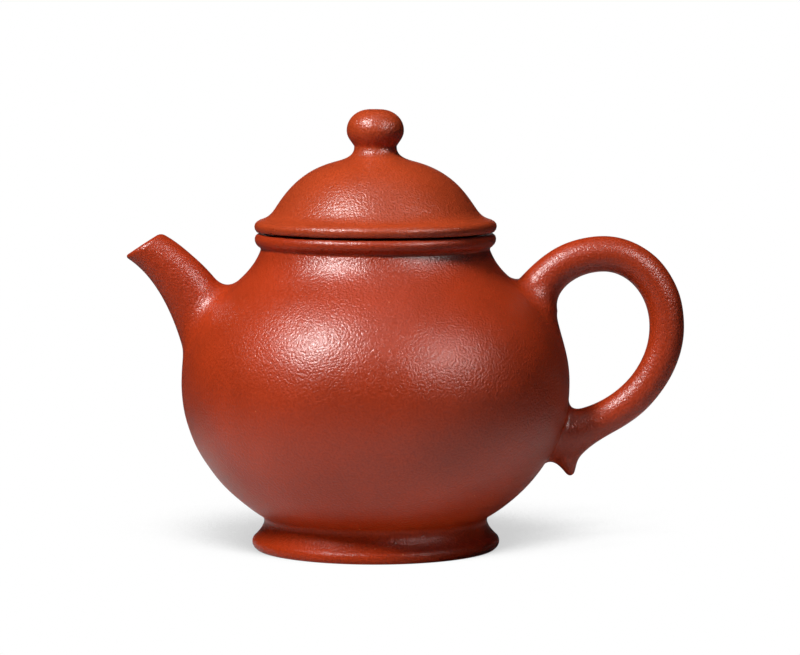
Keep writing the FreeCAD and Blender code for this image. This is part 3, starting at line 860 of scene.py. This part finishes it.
def make_lid_flange():
    high_out, high_in = (FLANGE_RADIUS, SEAT_LEVEL), (HOLLOW_RADIUS, SEAT_LEVEL)
    low_out, low_in = (FLANGE_RADIUS, FLANGE_LEVEL), (HOLLOW_RADIUS, FLANGE_LEVEL)
    side = chain(
        straight(high_in, low_in), EDGE_ROUND,
        straight(low_in, low_out), EDGE_ROUND,
        straight(low_out, high_out))
    return turned("lid_flange_clay", straight(high_out, high_in), [side])


def make_lid_dome():
    outer = span(LID_OUTLINE, LID_RIM_LEVEL, LID_TOP_LEVEL)
    hollow_height = LID_TOP_LEVEL - LID_RIM_LEVEL - LID_WALL
    vent_angle = math.acos(VENT_RADIUS / HOLLOW_RADIUS)
    hollow = oval_arc(HOLLOW_RADIUS, hollow_height, LID_RIM_LEVEL, vent_angle, 0)
    vent = chain(straight((VENT_RADIUS, LID_TOP_LEVEL), hollow[0]), EDGE_ROUND, hollow)
    top = straight(outer[-1], (VENT_RADIUS, LID_TOP_LEVEL))
    return turned("lid_dome_clay", outer, [top, vent, straight(hollow[-1], outer[0])])


def make_knob_neck():
    outer = span(LID_OUTLINE, LID_TOP_LEVEL, KNOB_SEAT_LEVEL)
    inner = straight((VENT_RADIUS, KNOB_SEAT_LEVEL), (VENT_RADIUS, LID_TOP_LEVEL))
    return walled("knob_neck_clay", outer, inner)


def make_knob():
    outer = span(LID_OUTLINE, KNOB_SEAT_LEVEL, KNOB_TOP_LEVEL)
    low = (VENT_RADIUS, KNOB_SEAT_LEVEL)
    outer = chain(outer, EDGE_ROUND, straight(outer[-1], low))
    return turned("knob_clay", outer, [straight(low, outer[0])])


def node_room(node, margin):
    """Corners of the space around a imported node."""
    points = node_points(node)
    return points.min(axis=0) - margin, points.max(axis=0) + margin


def make_spout():
    """Spout on a grid that reaches down past the node, for the soft bend under its root."""
    low, high = node_room("spout", SPOUT_MARGIN)
    return skin_of("spout_clay", spout_field, low - (0, 0, SPOUT_SKIRT), high)


def make_handle():
    return skin_of("handle_clay", handle_field, *node_room("handle", HANDLE_MARGIN))


PIECES = {
    "foot_ring": ("pot", make_foot_ring),
    "base_slab": ("pot", make_base_slab),
    "lower_wall": ("pot", make_lower_wall),
    "upper_wall": ("pot", make_upper_wall),
    "shoulder_slab": ("pot", make_shoulder_slab),
    "mouth_rim": ("pot", make_mouth_rim),
    "spout": ("pot", make_spout),
    "handle": ("pot", make_handle),
    "lid_rim": ("lid", make_lid_rim),
    "lid_flange": ("lid", make_lid_flange),
    "lid_dome": ("lid", make_lid_dome),
    "knob_neck": ("lid", make_knob_neck),
    "knob": ("lid", make_knob),
}


# Clay

class Nodes:
    """Short way to add shader nodes: inputs are values or sockets of other nodes."""

    def __init__(self, tree):
        self.tree = tree
        tree.nodes.clear()

    def add(self, kind, inputs=None, **settings):
        node = self.tree.nodes.new(kind)
        for name, value in settings.items():
            setattr(node, name, value)
        for name, value in (inputs or {}).items():
            if isinstance(value, bpy.types.NodeSocket):
                self.tree.links.new(value, node.inputs[name])
            else:
                node.inputs[name].default_value = value
        return node

    def math(self, operation, first, second):
        return self.add("ShaderNodeMath", {0: first, 1: second}, operation=operation).outputs[0]

    def mixed(self, share, first, second):
        """Colour between two others."""
        return self.add("ShaderNodeMix", {0: share, 6: first, 7: second}, data_type="RGBA").outputs[2]

    def ranged(self, value, source, target, **settings):
        """Value carried over from one range to another and held at the ends."""
        limits = {"From Min": source[0], "From Max": source[1], "To Min": target[0], "To Max": target[1]}
        return self.add("ShaderNodeMapRange", {"Value": value, **limits}, **settings).outputs["Result"]


def linear(red, green, blue):
    """Colour of a shader from screen values of 0 to 255."""
    parts = []
    for value in (red, green, blue):
        value /= 255
        parts.append(value / 12.92 if value <= 0.04045 else ((value + 0.055) / 1.055) ** 2.4)
    return (*parts, 1.0)


# Colours
POT_DARK = linear(165, 49, 15)
POT_LIGHT = linear(189, 61, 21)
# The lid's colours are the pot's clay made lighter and more orange: painted light, standing for the stronger
# light that falls on the lid.
LID_DARK_PAINTED_LIT = linear(168, 57, 22)
LID_LIGHT_PAINTED_LIT = linear(194, 73, 31)
SPECK_COLOUR = linear(205, 110, 70)
PIT_COLOUR = linear(50, 14, 9)

# Grain, clouds, pits and specks; scales are in cells to the metre, and radii are shares of a cell
GRAIN_SCALE = 2100
GRAIN_DETAIL = 2
POT_GRAIN_DEPTH = 0.15
LID_GRAIN_DEPTH = 0.16
CLOUD_SCALE = 60
CLOUD_DETAIL = 3
NOISE_ROUGHNESS = 0.5
NOISE_RANGE = (0.3, 0.7)
TONE_STOPS = (0.25, 0.75)
SHADE_RANGE = (0.9, 1.1)
ROUGHNESS_RANGE = (0.28, 0.4)
FOOT_POLISH = 0.15
BODY_POLISH = 0.5
PIT_SCALE = 150
PIT_RADIUS = 0.05
PIT_RARITY = 0.9
SPECK_SCALE = 330
SPECK_RADIUS = 0.07
SPECK_RARITY = 0.85
DOT_CORE = 0.6


def dots(nodes, place, scale, radius, rarity):
    """One inside small round spots, in the cells whose drawn value is above the rarity."""
    cells = nodes.add("ShaderNodeTexVoronoi", {"Vector": place, "Scale": scale}).outputs
    spot = nodes.ranged(cells["Distance"], (DOT_CORE * radius, radius), (1.0, 0.0))
    draw = nodes.add("ShaderNodeSeparateColor", {"Color": cells["Color"]}).outputs["Red"]
    return nodes.math("MULTIPLY", spot, nodes.math("GREATER_THAN", draw, rarity))


def noise(nodes, place, scale, detail):
    return nodes.add("ShaderNodeTexNoise", {
        "Vector": place, "Scale": scale, "Detail": detail, "Roughness": NOISE_ROUGHNESS}).outputs["Fac"]


def clay_material(name, dark, light, grain_depth):
    """Fired red clay: fine grain, faint clouds of tone, a few dark pits and pale specks, a dull foot."""
    material = bpy.data.materials.new(name)
    material.use_nodes = True
    nodes = Nodes(material.node_tree)
    place = nodes.add("ShaderNodeTexCoord").outputs["Object"]
    grain = noise(nodes, place, GRAIN_SCALE, GRAIN_DETAIL)
    clouds = noise(nodes, place, CLOUD_SCALE, CLOUD_DETAIL)
    tone = nodes.add("ShaderNodeValToRGB", {"Fac": grain})
    stops = tone.color_ramp.elements
    stops[0].position, stops[1].position = TONE_STOPS
    stops[0].color, stops[1].color = dark, light
    shade = nodes.ranged(clouds, NOISE_RANGE, SHADE_RANGE)
    shaded = {0: tone.outputs["Color"], "Scale": shade}
    colour = nodes.add("ShaderNodeVectorMath", shaded, operation="SCALE").outputs["Vector"]
    pits = dots(nodes, place, PIT_SCALE, PIT_RADIUS, PIT_RARITY)
    specks = dots(nodes, place, SPECK_SCALE, SPECK_RADIUS, SPECK_RARITY)
    speckled = nodes.mixed(specks, colour, SPECK_COLOUR)
    height = nodes.add("ShaderNodeSeparateXYZ", {"Vector": place}).outputs["Z"]
    foot_range = (FOOT_LEVEL * MM, BASE_LEVEL * MM)
    bump = nodes.add("ShaderNodeBump", {
        "Height": nodes.math("SUBTRACT", grain, pits), "Distance": grain_depth * MM, "Strength": 1.0})
    surface = nodes.add("ShaderNodeBsdfPrincipled", {
        "Base Color": nodes.mixed(pits, speckled, PIT_COLOUR),
        "Roughness": nodes.ranged(grain, NOISE_RANGE, ROUGHNESS_RANGE),
        "Normal": bump.outputs["Normal"],
        "Specular IOR Level": nodes.ranged(height, foot_range, (FOOT_POLISH, BODY_POLISH))})
    nodes.add("ShaderNodeOutputMaterial", {"Surface": surface.outputs["BSDF"]})
    return material


CLAYS = {
    "pot": clay_material("pot_clay", POT_DARK, POT_LIGHT, POT_GRAIN_DEPTH),
    # The lid's clay is the pot's clay painted lighter and more orange, for the stronger light on the lid.
    "lid": clay_material("lid_clay", LID_DARK_PAINTED_LIT, LID_LIGHT_PAINTED_LIT, LID_GRAIN_DEPTH),
}

for node, (body, make) in PIECES.items():
    piece = make()
    piece.data.materials.clear()
    piece.data.materials.append(CLAYS[body])
    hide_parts(node)
    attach(piece, body)

# The strainer lies inside the pot and shows as its own solid.
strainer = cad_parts["strainer"]
strainer.data.materials.clear()
strainer.data.materials.append(CLAYS["pot"])


# Camera

CAMERA_PLACE = (5.26, -746.1, 113.45)
CAMERA_PITCH = 5.04
CAMERA_LENS = 156.0
CAMERA_SENSOR = 36


def add_camera():
    data = bpy.data.cameras.new("camera")
    data.lens = CAMERA_LENS
    data.sensor_width = CAMERA_SENSOR
    camera = bpy.data.objects.new("camera", data)
    camera.location = [value * MM for value in CAMERA_PLACE]
    camera.rotation_euler = (math.radians(90 - CAMERA_PITCH), 0, 0)
    bpy.context.scene.collection.objects.link(camera)
    bpy.context.scene.camera = camera


# Light, floor and background

LIGHT_TARGET = (0, 0, 45)
AMBIENT = 0.01
BACKDROP_EDGE = 0.985
WHITE = (1, 1, 1, 1)

# Floor: how pale it is as a table near the pot and as a room farther off, and how much of it mirrors white
FLOOR_HALF = 4000
FLOOR_GAP = 0.02
FLOOR_MIRRORED = 0.03
TABLE_NEAR = 60
TABLE_FAR = 180
TABLE_TONE = 0.65
ROOM_TONE = 0.05

# Shadow on the floor, from how open the sky is above it; it leans towards the camera
SHADOW_REACH = 70.0
SHADOW_LEAN = 1.6
SHADOW_OPENNESS = (0.54, 0.77)
SHADOW_TONE = 0.6
SHADOW_SAMPLES = 16


def softbox(name, azimuth, elevation, distance, size, power, diffuse=True, sheen=True):
    """Square lamp towards the pot; azimuth 0 is the camera's side and grows to the right."""
    data = bpy.data.lights.new(name, "AREA")
    data.shape = "SQUARE"
    data.size = size * MM
    data.energy = power
    lamp = bpy.data.objects.new(name, data)
    side, up = math.radians(azimuth), math.radians(elevation)
    way = Vector((math.sin(side) * math.cos(up), -math.cos(side) * math.cos(up), math.sin(up)))
    lamp.location = (Vector(LIGHT_TARGET) + way * distance) * MM
    lamp.rotation_euler = way.to_track_quat("Z", "Y").to_euler()
    lamp.visible_diffuse = diffuse
    lamp.visible_glossy = sheen
    bpy.context.scene.collection.objects.link(lamp)


def shown_share(nodes, mirrored):
    """How far a ray shows the white background: to the camera or through glass wholly, mirrored in part."""
    rays = nodes.add("ShaderNodeLightPath").outputs
    seen = nodes.math("MAXIMUM", rays["Is Camera Ray"], rays["Is Transmission Ray"])
    glossy = nodes.math("MULTIPLY", rays["Is Glossy Ray"], mirrored)
    return nodes.math("MAXIMUM", seen, glossy)


def add_floor():
    """White table that keeps the soft shadow round the foot."""
    half = FLOOR_HALF * MM
    corners = [(-half, -half, 0), (half, -half, 0), (half, half, 0), (-half, half, 0)]
    mesh = bpy.data.meshes.new("floor")
    mesh.from_pydata(corners, [], [(0, 1, 2, 3)])
    floor = bpy.data.objects.new("floor", mesh)
    floor.location.z = -FLOOR_GAP * MM
    bpy.context.scene.collection.objects.link(floor)
    material = bpy.data.materials.new("floor")
    material.use_nodes = True
    nodes = Nodes(material.node_tree)
    upright = nodes.add("ShaderNodeNewGeometry").outputs["Normal"]
    leaning = nodes.add("ShaderNodeVectorMath", {0: upright, 1: (0, -SHADOW_LEAN, 0)}, operation="ADD")
    towards = nodes.add("ShaderNodeVectorMath", {0: leaning.outputs["Vector"]}, operation="NORMALIZE")
    open_sky = nodes.add("ShaderNodeAmbientOcclusion", {
        "Distance": SHADOW_REACH * MM, "Normal": towards.outputs["Vector"]}, samples=SHADOW_SAMPLES)
    tone = nodes.ranged(
        open_sky.outputs["AO"], SHADOW_OPENNESS, (SHADOW_TONE, 1.0), interpolation_type="SMOOTHSTEP")
    place = nodes.add("ShaderNodeTexCoord").outputs["Object"]
    apart = nodes.add("ShaderNodeVectorMath", {0: place}, operation="LENGTH").outputs["Value"]
    table_range = (TABLE_NEAR * MM, TABLE_FAR * MM)
    table = nodes.ranged(apart, table_range, (TABLE_TONE, ROOM_TONE), interpolation_type="SMOOTHSTEP")
    matte = nodes.add("ShaderNodeBsdfDiffuse", {"Color": table})
    white = nodes.add("ShaderNodeEmission", {"Color": WHITE, "Strength": tone})
    shown = shown_share(nodes, FLOOR_MIRRORED)
    mix = nodes.add("ShaderNodeMixShader", {0: shown, 1: matte.outputs[0], 2: white.outputs[0]})
    nodes.add("ShaderNodeOutputMaterial", {"Surface": mix.outputs[0]})
    mesh.materials.append(material)


def add_world():
    """White round about for what shows the background, and a dim room for the light on the clay."""
    world = bpy.data.worlds.new("studio")
    world.use_nodes = True
    bpy.context.scene.world = world
    nodes = Nodes(world.node_tree)
    way = nodes.add("ShaderNodeTexCoord").outputs["Generated"]
    behind = nodes.add("ShaderNodeSeparateXYZ", {"Vector": way}).outputs["Y"]
    backdrop = nodes.ranged(behind, (BACKDROP_EDGE, 1.0), (0.0, 1.0), interpolation_type="SMOOTHSTEP")
    dim = nodes.add("ShaderNodeBackground", {"Color": WHITE, "Strength": AMBIENT})
    white = nodes.add("ShaderNodeBackground", {"Color": WHITE, "Strength": 1.0})
    shown = shown_share(nodes, backdrop)
    mix = nodes.add("ShaderNodeMixShader", {0: shown, 1: dim.outputs[0], 2: white.outputs[0]})
    nodes.add("ShaderNodeOutputWorld", {"Surface": mix.outputs[0]})


add_camera()
softbox("key_softbox", azimuth=-41, elevation=47, distance=700, size=150, power=4.6, sheen=False)
softbox("key_sheen", azimuth=-47, elevation=47, distance=700, size=150, power=4.6, diffuse=False)
softbox("top_softbox", azimuth=20, elevation=80, distance=800, size=400, power=2.2, sheen=False)
softbox("key_core", azimuth=-47, elevation=47, distance=700, size=80, power=3.0, diffuse=False)
softbox("side_softbox", azimuth=46, elevation=34, distance=800, size=200, power=3.6, diffuse=False)
add_floor()
add_world()
bpy.context.scene.view_settings.view_transform = "Standard"
